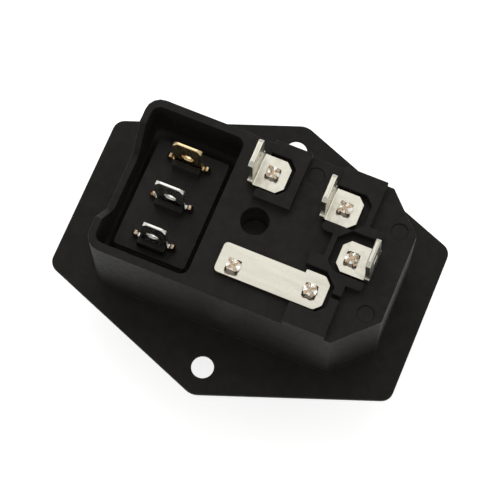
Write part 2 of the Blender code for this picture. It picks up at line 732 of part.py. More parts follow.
def make_switch_body():
    back = -FLANGE_THICK - GAP
    front = back - BEZEL_THICK
    loops = []
    for level, shrink in ((back, 0), (front + BEZEL_EDGE, 0), (front, BEZEL_EDGE)):
        length = SWITCH_LENGTH + 2 * (BEZEL_END_LAP - shrink)
        outline = switch_outline(length, SWITCH_WIDTH + 2 * (BEZEL_SIDE_LAP - shrink), BEZEL_CORNER_R)
        loops.append([(x, y, level) for x, y in outline])
    shell = skin("switch", loops)
    box = switch_outline(SWITCH_LENGTH, SWITCH_WIDTH, SWITCH_CORNER_R)
    add(shell, prism(box, back - BEZEL_EDGE, SWITCH_BACK_Z))
    half = SWITCH_LENGTH / 2
    for side in (-1, 1):
        wedge = [(side * (half - GAP), GAP), (side * (half + CLIP_REACH), GAP),
                 (side * (half - GAP), GAP + CLIP_LENGTH)]
        add(shell, prism(wedge, BAY_X - CLIP_WIDTH / 2, BAY_X + CLIP_WIDTH / 2, "x"))
    for row in (-1, 0, 1):
        y = row * BLADE_PITCH - SHEET / 2 - GAP - BOSS_DEPTH / 2
        boss = box_outline(BAY_X, y, BOSS_WIDTH, BOSS_DEPTH)
        add(shell, prism(boss, SWITCH_BACK_Z - SHEET, SWITCH_BACK_Z + BOSS_HEIGHT))
    room = switch_outline(SWITCH_LENGTH - 2 * SWITCH_WALL, SWITCH_WIDTH - 2 * SWITCH_WALL, SWITCH_CORNER_R)
    cut(shell, prism(room, front - BEZEL_THICK, SWITCH_BACK_Z - SWITCH_BACK_WALL))
    for row in (-1, 0, 1):
        slot = box_outline(BAY_X, row * BLADE_PITCH, BLADE_STEM + 2 * GAP, SHEET + 2 * GAP)
        cut(shell, prism(slot, SWITCH_BACK_Z - 2 * SWITCH_BACK_WALL, SWITCH_BACK_Z + BOSS_HEIGHT * 2))
    hole = circle(0, PIVOT_Z, PIVOT_D / 2 + PIVOT_GAP)
    cut(shell, prism(hole, BAY_X - SWITCH_WIDTH, BAY_X + SWITCH_WIDTH, "x"))
    return finish(shell, "switch_body", switch_plastic())


def rocker_front():
    # front face from one end to the other, dished in the middle
    half = ROCKER_HALF
    bend = -ROCKER_DISH - ROCKER_BEND_RISE
    return [(-half, -ROCKER_RISE), (-ROCKER_BEND, bend), (0, -ROCKER_DISH), (ROCKER_BEND, bend),
            (half, -ROCKER_RISE)]


def make_rocker():
    # drawn level round its pivot, then tilted to the resting position
    half_width = SWITCH_WIDTH / 2 - SWITCH_WALL - SLIDE_GAP
    skirt = ROCKER_HALF + SLIDE_GAP
    web = 2 * ROCKER_SKIRT
    outline = rocker_front() + [(skirt, -ROCKER_SKIRT), (skirt - SHEET, ROCKER_SKIRT), (STEM_HALF, web),
                                (STEM_HALF, STEM_END), (-STEM_HALF, STEM_END), (-STEM_HALF, web),
                                (SHEET - skirt, ROCKER_SKIRT), (-skirt, -ROCKER_SKIRT)]
    rocker = prism(outline, -half_width, half_width, "x", "rocker")
    for side in (-1, 1):
        pocket = [(side * (STEM_HALF + SHEET), SWITCH_WALL - ROCKER_DISH),
                  (side * (ROCKER_HALF - SHEET), SWITCH_WALL - ROCKER_DISH - ROCKER_BEND_RISE),
                  (side * (ROCKER_HALF - SHEET), STEM_END), (side * (STEM_HALF + SHEET), STEM_END)]
        cut(rocker, prism(pocket, SHEET - half_width, half_width - SHEET, "x"))
        trim = box_outline(side * (half_width + STEM_HALF), web + STEM_END / 2,
                           2 * half_width - SHEET, STEM_END)
        cut(rocker, prism(trim, -2 * STEM_HALF, 2 * STEM_HALF, "y"))
    reach = SWITCH_WIDTH / 2 - GAP
    add(rocker, prism(circle(0, 0, PIVOT_D / 2), -reach, reach, "x"))
    cut(rocker, turned([(BORE_D / 2, BORE_END), (BORE_D / 2, STEM_END + SHEET)], (0, 0)))
    return finish(rocker, "rocker", switch_plastic())


def paddle_frame(side):
    # the plane of one half of the rocker's front
    low = Vector((0, side * ROCKER_BEND, -ROCKER_DISH - ROCKER_BEND_RISE))
    high = Vector((0, side * ROCKER_HALF, -ROCKER_RISE))
    along = (high - low).normalized()
    out = Vector((0, -side * along.z, side * along.y)) * -1
    if out.z > 0:
        out = -out
    middle = (low + high) / 2
    turn = Matrix((Vector((1, 0, 0)), along, out)).transposed().to_4x4()
    return Matrix.Translation(middle) @ turn


def make_marks():
    bar = prism(box_outline(0, 0, MARK_WIDTH, MARK_LENGTH), MARK_LIFT, MARK_LIFT + MARK_THICK, name="bar")
    bar.data.transform(paddle_frame(-1))
    outer = MARK_LENGTH / 2
    ring = tube(outer, outer - RING_WIDTH, MARK_LIFT, MARK_LIFT + MARK_THICK, (0, 0), "z", "ring")
    ring.data.transform(paddle_frame(1))
    for obj, name in ((bar, "mark_on"), (ring, "mark_off")):
        shape = bmesh.new()
        shape.from_mesh(obj.data)
        bmesh.ops.recalc_face_normals(shape, faces=shape.faces)
        shape.to_mesh(obj.data)
        shape.free()
        finish(obj, name, mark_white())
    return bar, ring


def make_plunger():
    r = PLUNGER_D / 2
    profile = [(r, PLUNGER_BACK), (r, PLUNGER_TIP - TIP_LENGTH),
               (r * TIP_SHARE, PLUNGER_TIP - r * TIP_FLAT), (r * TIP_FLAT, PLUNGER_TIP)]
    return finish(turned(profile, (0, 0), name="plunger"), "plunger", mark_white())


def make_spring():
    low = BORE_END + SPRING_WIRE
    high = PLUNGER_BACK - SPRING_WIRE
    radius = (SPRING_D - SPRING_WIRE) / 2
    steps = SPRING_TURNS * 14
    loops = []
    for i in range(steps + 1):
        angle = 2 * math.pi * SPRING_TURNS * i / steps
        out = Vector((math.cos(angle), math.sin(angle), 0))
        centre = out * radius + Vector((0, 0, low + (high - low) * i / steps))
        section = circle(0, 0, SPRING_WIRE / 2, 6)
        loops.append([tuple(centre + out * a + Vector((0, 0, b))) for a, b in section])
    return finish(skin("spring", loops), "plunger_spring", steel())


def make_lever():
    half = LEVER_WIDTH / 2
    strip = prism(box_outline(0, -LEVER_THICK / 2, 2 * LEVER_HALF, LEVER_THICK), -half, half, "x", "lever")
    for side in (-1, 1):
        r = BUTTON_D / 2
        add(strip, turned([(r, -LEVER_THICK / 2), (r, BUTTON_HEIGHT)], (0, side * BUTTON_Y), steps=16))
    return finish(strip, "contact_lever", brass())


def blade_outline(tip_width):
    # tab between two shoulders that end in rounded knobs
    tab = TAB_WIDTH / 2
    tip = tip_width / 2
    shift = tab - tip
    low = SWITCH_BACK_Z + GAP
    end = SHOULDER_WIDTH / 2
    knob = low + KNOB_HEIGHT
    neck = end - KNOB_LENGTH
    shoulder = [(end, low), (end, knob - KNOB_EDGE), (end - KNOB_EDGE, knob), (neck + KNOB_EDGE, knob),
                (neck, knob - KNOB_EDGE), (neck, low + SHOULDER_HEIGHT), (tab, low + SHOULDER_HEIGHT)]
    nose = TAB_NOSE
    top = [(shift + tip, BLADE_TIP_Z - nose), (shift + tip - nose, BLADE_TIP_Z),
           (shift - tip + nose, BLADE_TIP_Z), (shift - tip, BLADE_TIP_Z - nose)]
    other = [(-a, b) for a, b in reversed(shoulder)]
    return [(BAY_X + a, b) for a, b in shoulder + top + other]


def make_blade(name, row, tip_width, foot_z):
    y = row * BLADE_PITCH
    stem = BLADE_STEM / 2
    outline = blade_outline(tip_width) + [(BAY_X - stem, SWITCH_BACK_Z + GAP), (BAY_X - stem, foot_z),
                                          (BAY_X + stem, foot_z), (BAY_X + stem, SWITCH_BACK_Z + GAP)]
    blade = prism(outline, y - SHEET / 2, y + SHEET / 2, "y", "blade")
    hole = circle(BAY_X, BLADE_TIP_Z - BLADE_HOLE_DROP, BLADE_HOLE_D / 2, 20)
    cut(blade, prism(hole, y - SHEET, y + SHEET, "y"))
    for hand in (-1, 1):
        face = y + hand * SHEET / 2
        sliver = [(face + hand * GAP, BLADE_TIP_Z - 2 * TAB_NOSE), (face, BLADE_TIP_Z - TAB_NOSE),
                  (face - hand * BLADE_NOSE_THIN, BLADE_TIP_Z),
                  (face - hand * 2 * BLADE_NOSE_THIN, BLADE_TIP_Z + TAB_NOSE),
                  (face + hand * GAP, BLADE_TIP_Z + TAB_NOSE)]
        cut(blade, prism(sliver, BAY_X - TAB_WIDTH, BAY_X + TAB_WIDTH, "x"))
    if row != 0:
        inner = row * (BUTTON_Y - BUTTON_D / 2)
        ledge = box_outline((inner + y) / 2, foot_z + SHEET / 2, abs(y - inner), SHEET)
        add(blade, prism(ledge, BAY_X - stem, BAY_X + stem, "x"))
        profile = [(BUTTON_D / 2, foot_z - BUTTON_HEIGHT), (BUTTON_D / 2, foot_z + SHEET / 2)]
        add(blade, turned(profile, (BAY_X, row * BUTTON_Y), steps=16))
    return finish(blade, name, tinned() if row <= 0 else brass())


def place_moving(pieces, location, tilt):
    for piece in pieces:
        piece.location = location
        piece.rotation_euler = (math.radians(tilt), 0, 0)


def make_switch():
    make_switch_body()
    bar, ring = make_marks()
    place_moving([make_rocker(), bar, ring, make_plunger(), make_spring()], (BAY_X, 0, PIVOT_Z), ROCKER_TILT)
    place_moving([make_lever()], (BAY_X, 0, LEVER_Z), -LEVER_TILT)
    drop = math.sin(math.radians(LEVER_TILT)) * (BUTTON_Y + BUTTON_D / 2)
    foot = LEVER_Z + drop + 2 * BUTTON_HEIGHT + GAP
    make_blade("switch_tab_a", 1, TAB_WIDTH, foot)
    make_blade("switch_tab_common", 0, TAB_WIDTH, LEVER_Z + SLIDE_GAP)
    make_blade("switch_tab_b", -1, NARROW_TIP, foot)


def make_fuse_parts():
    drawer = make_drawer()
    spare, work = fuse_levels()
    make_fuse(("fuse_glass", "fuse_cap_a", "fuse_cap_b", "fuse_wire"), work, drawer)
    make_fuse(("spare_glass", "spare_cap_a", "spare_cap_b", "spare_wire"), spare, drawer)
    make_fuse_contact("line_fuse_contact", -1)
    make_fuse_contact("load_fuse_contact", 1)


def make_terminals():
    live_y = PIN_SPACING / 2
    make_pin("line_pin", LIVE_X, -live_y)
    make_pin("neutral_pin", LIVE_X, live_y)
    make_pin("earth_pin", EARTH_X, 0)
    make_tab_terminal("fused_terminal", FUSE_X, CONTACT_SPACING / 2, -1)
    make_tab_terminal("neutral_terminal", LIVE_X, live_y, -1)
    make_tab_terminal("earth_terminal", EARTH_X, 0, 1, EARTH_PLATE_WIDTH, EARTH_FREE, EARTH_FOLD, EARTH_LEAN)
    make_link_plate()


def main():
    clear_scene()
    make_housing()
    make_terminals()
    make_fuse_parts()
    make_switch()


main()
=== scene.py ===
import json
import math

import bmesh
import bpy
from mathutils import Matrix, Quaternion, Vector, noise
from mathutils.geometry import delaunay_2d_cdt

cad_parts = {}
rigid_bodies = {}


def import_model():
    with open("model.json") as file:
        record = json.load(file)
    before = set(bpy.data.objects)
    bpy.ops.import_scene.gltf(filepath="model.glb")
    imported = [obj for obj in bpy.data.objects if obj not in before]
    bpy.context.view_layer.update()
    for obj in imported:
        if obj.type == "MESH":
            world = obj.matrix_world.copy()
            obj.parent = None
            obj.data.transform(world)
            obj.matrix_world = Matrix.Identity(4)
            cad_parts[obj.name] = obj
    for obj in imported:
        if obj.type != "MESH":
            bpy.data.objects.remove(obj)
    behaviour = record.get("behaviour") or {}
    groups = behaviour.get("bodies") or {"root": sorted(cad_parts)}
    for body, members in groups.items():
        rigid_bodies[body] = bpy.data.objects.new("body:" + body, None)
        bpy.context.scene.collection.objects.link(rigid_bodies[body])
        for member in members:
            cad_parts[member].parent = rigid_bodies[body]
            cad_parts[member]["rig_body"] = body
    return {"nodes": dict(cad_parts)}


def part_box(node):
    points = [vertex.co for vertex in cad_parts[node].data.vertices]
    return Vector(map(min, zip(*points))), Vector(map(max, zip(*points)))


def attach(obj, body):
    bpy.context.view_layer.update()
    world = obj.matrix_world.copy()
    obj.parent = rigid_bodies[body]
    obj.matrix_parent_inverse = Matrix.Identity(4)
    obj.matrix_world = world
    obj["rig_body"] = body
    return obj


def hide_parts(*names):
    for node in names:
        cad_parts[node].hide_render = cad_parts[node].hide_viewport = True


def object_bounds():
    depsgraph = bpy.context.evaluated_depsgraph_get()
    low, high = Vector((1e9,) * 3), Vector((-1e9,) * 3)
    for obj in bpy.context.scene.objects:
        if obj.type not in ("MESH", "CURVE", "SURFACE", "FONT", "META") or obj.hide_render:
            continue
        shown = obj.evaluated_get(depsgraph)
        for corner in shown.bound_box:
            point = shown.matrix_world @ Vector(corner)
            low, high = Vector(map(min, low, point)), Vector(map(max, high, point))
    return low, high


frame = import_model()
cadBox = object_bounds()
nodes = frame["nodes"]
print("frame loaded,", len(nodes), "nodes")


def addObject(name, data):
    made = bpy.data.objects.new(name, data)
    bpy.context.scene.collection.objects.link(made)
    return made


def lookAlong(thing, direction, roll=0.0):
    turn = direction.to_track_quat("-Z", "Y")
    thing.rotation_mode = "QUATERNION"
    thing.rotation_quaternion = turn @ Quaternion((0, 0, 1), math.radians(roll))


# camera, as the photo was taken: from the wiring side, a little towards -Y
cameraSet = {
    "place": (0.03684, -0.08717, 0.30057),
    "aim": (-0.0005, 0.00113, 0.0),
    "roll": -0.4,   # degrees
    "lens": 138.69,
    "sensor": 36.0,
    "clipStart": 0.01,
}


def makeCamera():
    data = bpy.data.cameras.new("photoCamera")
    data.lens = cameraSet["lens"]
    data.sensor_width = cameraSet["sensor"]
    data.clip_start = cameraSet["clipStart"]
    camera = addObject("photoCamera", data)
    camera.location = cameraSet["place"]
    lookAlong(camera, Vector(cameraSet["aim"]) - Vector(cameraSet["place"]), cameraSet["roll"])
    bpy.context.scene.camera = camera


def join(value, socket):
    if isinstance(value, Wire):
        socket.id_data.links.new(value.socket, socket)
    elif value is not None:
        socket.default_value = value


class Wire:
    # a node's output that can be used in sums
    def __init__(self, socket):
        self.socket = socket

    def math(self, operation, other=None, flip=False):
        made = self.socket.id_data.nodes.new("ShaderNodeMath")
        made.operation = operation
        first, second = (other, self) if flip else (self, other)
        join(first, made.inputs[0])
        join(second, made.inputs[1])
        return Wire(made.outputs[0])

    def __add__(self, other):
        return self.math("ADD", other)

    def __radd__(self, other):
        return self.math("ADD", other, True)

    def __sub__(self, other):
        return self.math("SUBTRACT", other)

    def __rsub__(self, other):
        return self.math("SUBTRACT", other, True)

    def __mul__(self, other):
        return self.math("MULTIPLY", other)

    def __rmul__(self, other):
        return self.math("MULTIPLY", other, True)

    def least(self, other):
        return self.math("MINIMUM", other)

    def most(self, other):
        return self.math("MAXIMUM", other)

    def size(self):
        return self.math("ABSOLUTE")

    def root(self):
        return self.math("SQRT")


class Finish:
    # one material and the few kinds of node that it is built from
    def __init__(self, name):
        self.material = bpy.data.materials.new(name)
        self.material.use_nodes = True
        self.tree = self.material.node_tree
        self.shader = self.tree.nodes["Principled BSDF"]
        self.place = self.node("ShaderNodeTexCoord", out="Object")

    def node(self, kind, settings=None, values=None, out=0):
        made = self.tree.nodes.new(kind)
        for key, value in (settings or {}).items():
            setattr(made, key, value)
        for key, value in (values or {}).items():
            join(value, made.inputs[key])
        return Wire(made.outputs[out])

    def noise(self, scale, detail=3.0, stretch=(1, 1, 1)):
        spot = self.node("ShaderNodeMapping", values={"Vector": self.place, "Scale": stretch})
        return self.node("ShaderNodeTexNoise", values={
            "Vector": spot, "Scale": scale, "Detail": detail, "Roughness": 0.55})

    def ramp(self, value, low, high, start=0.0, end=1.0):
        return self.node("ShaderNodeMapRange", {"interpolation_type": "SMOOTHSTEP"}, {
            "Value": value, "From Min": low, "From Max": high, "To Min": start, "To Max": end})

    def spread(self, value, start=0.0, end=1.0):
        # most of a noise lies between 0.3 and 0.7
        return self.ramp(value, 0.3, 0.7, start, end)

    def below(self, value, high, blend):
        # 1 at first and 0 from high on
        return self.ramp(value, high - blend, high, 1.0, 0.0)

    def above(self, value, low, blend):
        # 0 up to low, and then 1
        return self.ramp(value, low, low + blend)

    def mix(self, share, first, second):
        return self.node("ShaderNodeMix", {"data_type": "RGBA"}, {0: share, 6: first, 7: second}, 2)

    def axes(self):
        parts = self.node("ShaderNodeSeparateXYZ", values={"Vector": self.place})
        outputs = parts.socket.node.outputs
        return Wire(outputs[0]), Wire(outputs[1]), Wire(outputs[2])

    def facing(self, axis):
        # 1 on faces that look straight along the axis, either way, and 0 on those beside it
        normal = self.node("ShaderNodeTexCoord", out="Normal")
        return self.node("ShaderNodeSeparateXYZ", values={"Vector": normal}, out=axis).size()

    def bump(self, height, strength, distance):
        made = self.node("ShaderNodeBump", values={
            "Height": height, "Strength": strength, "Distance": distance})
        self.set("Normal", made)

    def set(self, name, value):
        join(value, self.shader.inputs[name])

    def over(self, share, colour, level=1.0):
        # lays a colour over what Base Color shows already
        before = Wire(self.shader.inputs["Base Color"].links[0].from_socket)
        self.set("Base Color", self.mix(share, before, shade(colour, level)))


def shade(colour, level=1.0):
    return (colour[0] * level, colour[1] * level, colour[2] * level, 1.0)


# moulded thermoplastic, near black, with the faint cloudiness of a textured mould
plasticSet = {
    "colour": (0.0143, 0.0132, 0.0119),
    "cloudScale": 420.0,
    "cloudDepth": 0.16,
    "wearScale": 966.0,
    "grainScale": 5200.0,
    "coarseScale": 1560.0,
    "coarseShare": 0.6,
    "grainHeight": 0.000012,
    "grainStrength": 0.5,
    "roughness": (0.50, 0.62),
    "specular": 0.11,
}


def moulded(name, **changes):
    plastic = dict(plasticSet, **changes)
    look = Finish(name)
    cloud = look.spread(look.noise(plastic["cloudScale"], 5.0))
    dark, pale = (shade(plastic["colour"], 1 + side * plastic["cloudDepth"]) for side in (-1, 1))
    look.set("Base Color", look.mix(cloud, dark, pale))
    look.set("Roughness", look.spread(look.noise(plastic["wearScale"]), *plastic["roughness"]))
    look.set("Specular IOR Level", plastic["specular"])
    fine, coarse = (look.noise(plastic[key], 2.0) for key in ("grainScale", "coarseScale"))
    grain = fine + plastic["coarseShare"] * coarse
    look.bump(grain, plastic["grainStrength"], plastic["grainHeight"])
    return look


# rolled sheet metal of any kind: fine streaks, soft stains and specks
sheetSet = {
    "streakScale": 900.0,
    "patchScale": 260.0,
    "patchShare": 0.6,
    "speckScale": 5200.0,
    "scratchScale": 2600.0,
    "scratchShare": 0.5,
    "scratchHeight": 0.000003,
    "relief": 0.6,
    "stained": (0.50, 0.72),
    "specked": (0.45, 0.70, 0.0, 0.45),
}


def sheetMetal(name, values):
    metal = dict(sheetSet, **values)
    look = Finish(name)
    streak = look.noise(metal["streakScale"], 4.0, metal["stretch"])
    patch = look.noise(metal["patchScale"])
    speck = look.noise(metal["speckScale"], 1.0)
    share = metal["patchShare"]
    stained = look.ramp(patch * share + streak * (1 - share), *metal["stained"])
    dull = stained.most(look.ramp(speck, *metal["specked"]))
    look.set("Base Color", look.mix(dull, shade(metal["colour"]), shade(metal["stain"])))
    look.set("Roughness", look.spread(streak, *metal["roughness"]))
    look.set("Metallic", 1.0)
    scratch = metal["scratchShare"] * look.noise(metal["scratchScale"], 2.0)
    look.bump(streak + scratch, metal["relief"], metal["scratchHeight"])
    return look


# tin-plated sheet: pale and warm, with dark punched sides
tinSet = {
    "colour": (0.432, 0.416, 0.357),
    "stain": (0.372, 0.354, 0.297),
    "stretch": (0.12, 1.0, 1.0),
    "roughness": (0.27, 0.36),
    "shear": (0.17, 0.145, 0.115),
    "sideTurn": (0.15, 0.55, 1.0, 0.0),
    "tabTurn": (0.10, 0.45),
    "tabStretch": (1.0, 1.0, 0.12),
    "paintedTabSheen": 1.9,   # painted reflection: upright faces along x are brightened this much
    "blend": 0.0001,
    "tipCut": 0.00018,
    "tipLength": 0.002,
    "tipDepth": 0.00001,
}


def shearedSheet(name, stretch, paintedTabSheen=1.0):
    # the plates lie flush with the moulding, and their punched sides are bare and dark
    look = sheetMetal(name, dict(tinSet, stretch=stretch))
    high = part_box("link_plate")[1].z
    upright = look.above(look.axes()[2], high - tinSet["blend"], tinSet["blend"])
    look.over(look.ramp(look.facing(2), *tinSet["sideTurn"]) * (1 - upright), tinSet["shear"])
    # painted reflection: with a level above 1, the tabs' faces along x are brightened
    look.over(look.ramp(look.facing(0), *tinSet["tabTurn"]) * upright, tinSet["colour"], paintedTabSheen)
    return look.material


# shape of the staked tails: square ends split by a cross punch, each a little different
headSet = {
    "roundness": 3.8,
    "lean": 0.00014,
    "half": 0.00107,
    "grow": 1.03,
    "foot": 0.0190,
    "top": 0.02046,
    "overlap": 0.0001,    # how far head and tail run into each other
    "crossUp": 0.12,      # middle of the cross, as a share of half
    "armNarrow": 0.00012,
    "armWide": 0.00030,
    "armEdge": 0.00011,
    "fall": 0.00022,
    "frontFrom": 0.62,    # sheared face towards -Y
    "frontFall": 0.0005,
    "rimFall": 0.00006,
    "waverScale": 2.2,
    "waver": 0.16,
    "dents": ((2100, 0.00012, 0), (5200, 0.00004, 9)),   # scale, depth and shift of the seed
    "rings": 12,
    "steps": 72,
    "holeReach": 1.15,    # the plates' holes round the tails
    "holeShrink": 0.92,
    # node: shift in x and y, stretch in y, seed
    "heads": {
        "load_fuse_contact": (0.0, -0.00005, 1.0, 1.3),
        "neutral_pin": (0.0, -0.0001, 1.04, 2.1),
        "earth_pin": (0.0, -0.0003, 1.05, 4.7),
        "line_pin": (-0.00006, -0.00040, 1.10, 6.2),
        "line_fuse_contact": (0.00005, -0.00022, 1.14, 8.4),
    },
}

# their metal: copper on the cross, plating beside it, and a broken line of painted shade in the
# seam round the head
stakeSet = {
    "copper": (0.35, 0.26, 0.175),
    "silver": (0.74, 0.725, 0.675),
    "seamShade": (0.025, 0.021, 0.018),
    # painted shade on the face towards -Y, which is torn too
    "tornAndShade": (0.17, 0.140, 0.110),
    "raggedScale": 1900.0,
    "ragged": 0.0002,
    "crossEdge": (-0.00003, 0.00004, 1.0, 0.0),
    "tornAndShadeFrom": (0.70, 0.78),
    "shadeRagged": 0.5,
    "seamScale": 900.0,
    "seamWaver": 0.0006,
    "seamFrom": (1.03, 1.10),
    "polishScale": 1800.0,
    "roughness": (0.10, 0.22),
    "crossRoughness": 0.20,
    "dentScale": 3000.0,
    "dentHeight": 0.00004,
    "dentStrength": 0.8,
}


def headPlace(node):
    low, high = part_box(node)
    dx, dy = headSet["heads"][node][:2]
    return (low.x + high.x) / 2 + dx, (low.y + high.y) / 2 + dy


def stakedMetal(name, x, y):
    look = Finish(name)
    half = headSet["half"]
    ax, ay, az = look.axes()
    across = ax - x
    up = ay - (y + headSet["crossUp"] * half)
    arm = (across - up).size().least((across + up).size()) * math.sqrt(0.5)
    reach = across.size().most(up.size()) * (1 / half)
    width = reach * (headSet["armWide"] - headSet["armNarrow"]) + headSet["armNarrow"]
    ragged = (look.noise(stakeSet["raggedScale"]) * 2 - 1) * stakeSet["ragged"]
    cross = look.ramp(arm + ragged - width, *stakeSet["crossEdge"])
    onHead = look.above(az, headSet["foot"], headSet["overlap"])
    # painted shade on the torn face towards -Y, which looks away from the lamp
    tornAndShadeFrom = [share * half for share in stakeSet["tornAndShadeFrom"]]
    front = ragged * stakeSet["shadeRagged"] - up
    tornAndShade = look.ramp(front, *tornAndShadeFrom) * (1 - cross)
    # painted shade in the seam where the head meets the plate's hole
    waver = (look.noise(stakeSet["seamScale"], 2.0) * 2 - 1) * stakeSet["seamWaver"]
    seamFrom = [share * half for share in stakeSet["seamFrom"]]
    seamShade = look.ramp((across * across + up * up).root() + waver, *seamFrom)
    metal = look.mix(cross * onHead, shade(stakeSet["silver"]), shade(stakeSet["copper"]))
    metal = look.mix(seamShade * onHead, metal, shade(stakeSet["seamShade"]))
    look.set("Base Color", look.mix(tornAndShade * onHead, metal, shade(stakeSet["tornAndShade"])))
    look.set("Metallic", 1.0)
    polish = look.spread(look.noise(stakeSet["polishScale"]), *stakeSet["roughness"])
    look.set("Roughness", polish + cross * stakeSet["crossRoughness"])
    look.bump(look.noise(stakeSet["dentScale"]), stakeSet["dentStrength"], stakeSet["dentHeight"])
    return look.material


def addHead(shape, x, y, stretch, seed):
    # ridges run to the corners and the facets between them fall away
    def spot(reach, angle):
        c, s = math.cos(angle), math.sin(angle)
        power = headSet["roundness"]
        square = (abs(c) ** power + abs(s) ** power) ** (-1 / power)
        scale = headSet["waverScale"]
        waver = headSet["waver"] * noise.noise(Vector((c * scale, s * scale, seed)))
        r = headSet["half"] * reach * square * (headSet["grow"] + waver)
        across, up = r * c, r * s
        off = abs(abs(across) - abs(up - headSet["crossUp"] * headSet["half"])) * math.sqrt(0.5)
        arm = headSet["armNarrow"] + (headSet["armWide"] - headSet["armNarrow"]) * reach
        beside = 1 - math.exp(-max(0.0, off - arm) / headSet["armEdge"])
        front = max(0.0, -up / headSet["half"] - headSet["frontFrom"]) * headSet["frontFall"]
        height = headSet["top"] - beside * (headSet["fall"] + front)
        for scale, depth, shift in headSet["dents"]:
            height += noise.noise(Vector((across * scale, up * scale, seed + shift))) * depth
        return Vector((x + across, y + up * stretch, height - headSet["rimFall"] * reach ** 8))

    steps = headSet["steps"]
    rings = headSet["rings"]
    turns = [2 * math.pi * i / steps for i in range(steps)]
    middle = shape.verts.new(spot(0.0, 0.0))
    rows = [[shape.verts.new(spot((k + 1) / rings, a)) for a in turns] for k in range(rings)]
    edge = [Vector((v.co.x, v.co.y, headSet["foot"])) for v in rows[-1]]
    rows.append([shape.verts.new(co) for co in edge])
    for i in range(steps):
        j = (i + 1) % steps
        shape.faces.new((middle, rows[0][i], rows[0][j]))
        for inner, outer in zip(rows, rows[1:]):
            shape.faces.new((inner[i], outer[i], outer[j], inner[j]))
    shape.faces.new(list(reversed(rows[-1])))


# switch tabs: polished strip, copper with brown spots where the ends were sheared
bladeSet = {
    "silver": (0.62, 0.61, 0.57),
    "gold": (0.68, 0.52, 0.29),
    "stainLevel": 0.82,
    "stretch": (1.0, 1.0, 0.15),
    "roughness": (0.22, 0.32),
    "relief": 0.25,
    "shear": (0.35, 0.255, 0.165),
    "shearFrom": 0.0029,
    "shearBlend": 0.0004,
    "shearScale": 2000.0,
    "shearWaver": 0.0003,
    "tornAndShade": (0.13, 0.075, 0.040),
    "tornScale": 2300.0,
    "tornAndShadeFrom": (0.52, 0.60),
}


def bladeMetal(name, colour):
    stain = shade(colour, bladeSet["stainLevel"])
    look = sheetMetal(name, dict(bladeSet, colour=colour, stain=stain))
    low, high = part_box("switch_tab_common")
    away = (look.axes()[0] - (low.x + high.x) / 2).size()
    waver = look.noise(bladeSet["shearScale"]) * bladeSet["shearWaver"]
    cutEnd = look.above(away + waver, bladeSet["shearFrom"], bladeSet["shearBlend"])
    look.over(cutEnd, bladeSet["shear"])
    tornAndShade = look.ramp(look.noise(bladeSet["tornScale"], 2.0), *bladeSet["tornAndShadeFrom"])
    look.over(cutEnd * tornAndShade, bladeSet["tornAndShade"])
    return look.material


glassSet = {
    "colour": (0.95, 0.98, 0.97),
    "smearScale": 400.0,
    "roughness": (0.02, 0.06),
    "ior": 1.47,
}


def clearGlass(name):
    look = Finish(name)
    look.set("Base Color", shade(glassSet["colour"]))
    look.set("Roughness", look.spread(look.noise(glassSet["smearScale"]), *glassSet["roughness"]))
    look.set("Transmission Weight", 1.0)
    look.set("IOR", glassSet["ior"])
    return look.material


# white of the rocker's marks and of the plunger
whiteSet = {
    "colours": ((0.78, 0.78, 0.76), (0.88, 0.88, 0.86)),
    "patchScale": 1500.0,
    "wearScale": 900.0,
    "roughness": (0.40, 0.55),
    "grainScale": 5000.0,
    "grainHeight": 0.000008,
    "grainStrength": 0.3,
}


def plainWhite(name):
    look = Finish(name)
    first, second = (shade(colour) for colour in whiteSet["colours"])
    look.set("Base Color", look.mix(look.noise(whiteSet["patchScale"]), first, second))
    look.set("Roughness", look.spread(look.noise(whiteSet["wearScale"]), *whiteSet["roughness"]))
    grain = look.noise(whiteSet["grainScale"])
    look.bump(grain, whiteSet["grainStrength"], whiteSet["grainHeight"])
    return look.material


# small rounded edges, put on copies of the CAD nodes
edgeSet = {
    # three angles, in degrees
    "sharpFrom": 28,
    "smoothTo": 40,
    "flatTo": 0.6,
    # an edge and its faces must be this much larger than the rounding
    "lengthShare": 1.2,
    "roomShare": 2.4,
    # a face is laid afresh where its triangles miss more than this share of it
    "areaSlip": 0.002,
    "merge": 0.000001,
    "seamPasses": 8,
    # width of the rounding
    "housing": 0.00012,
    "drawer": 0.00015,
    "switch": 0.0001,
    "rocker": 0.00018,
    "blade": 0.00009,
    "plate": 0.0001,
    "tail": 0.00008,
}


def sharpEdges(shape, width):
    # edges worth rounding: sharp, and with faces on both sides wide enough to take it
    chosen = []
    for edge in shape.edges:
        if len(edge.link_faces) != 2:
            continue
        if edge.calc_face_angle() < math.radians(edgeSet["sharpFrom"]):
            continue
        if edge.calc_length() < edgeSet["lengthShare"] * width:
            continue
        start = edge.verts[0].co
        along = (edge.verts[1].co - start).normalized()
        room = [max(((v.co - start) - along * (v.co - start).dot(along)).length for v in face.verts)
                for face in edge.link_faces]
        if min(room) > edgeSet["roomShare"] * width:
            chosen.append(edge)
    return chosen


def awkward(shape):
    # flat faces whose own triangles don't cover them exactly
    shape.normal_update()
    shape.faces.index_update()
    covered = {}
    for loops in shape.calc_loop_triangles():
        a, b, c = (loop.vert.co for loop in loops)
        index = loops[0].face.index
        covered[index] = covered.get(index, 0) + (b - a).cross(c - a).length / 2
    chosen = []
    for face in shape.faces:
        area = face.calc_area()
        slip = abs(covered[face.index] - area)
        if len(face.verts) > 4 and slip > edgeSet["areaSlip"] * area:
            chosen.append(face)
    return chosen


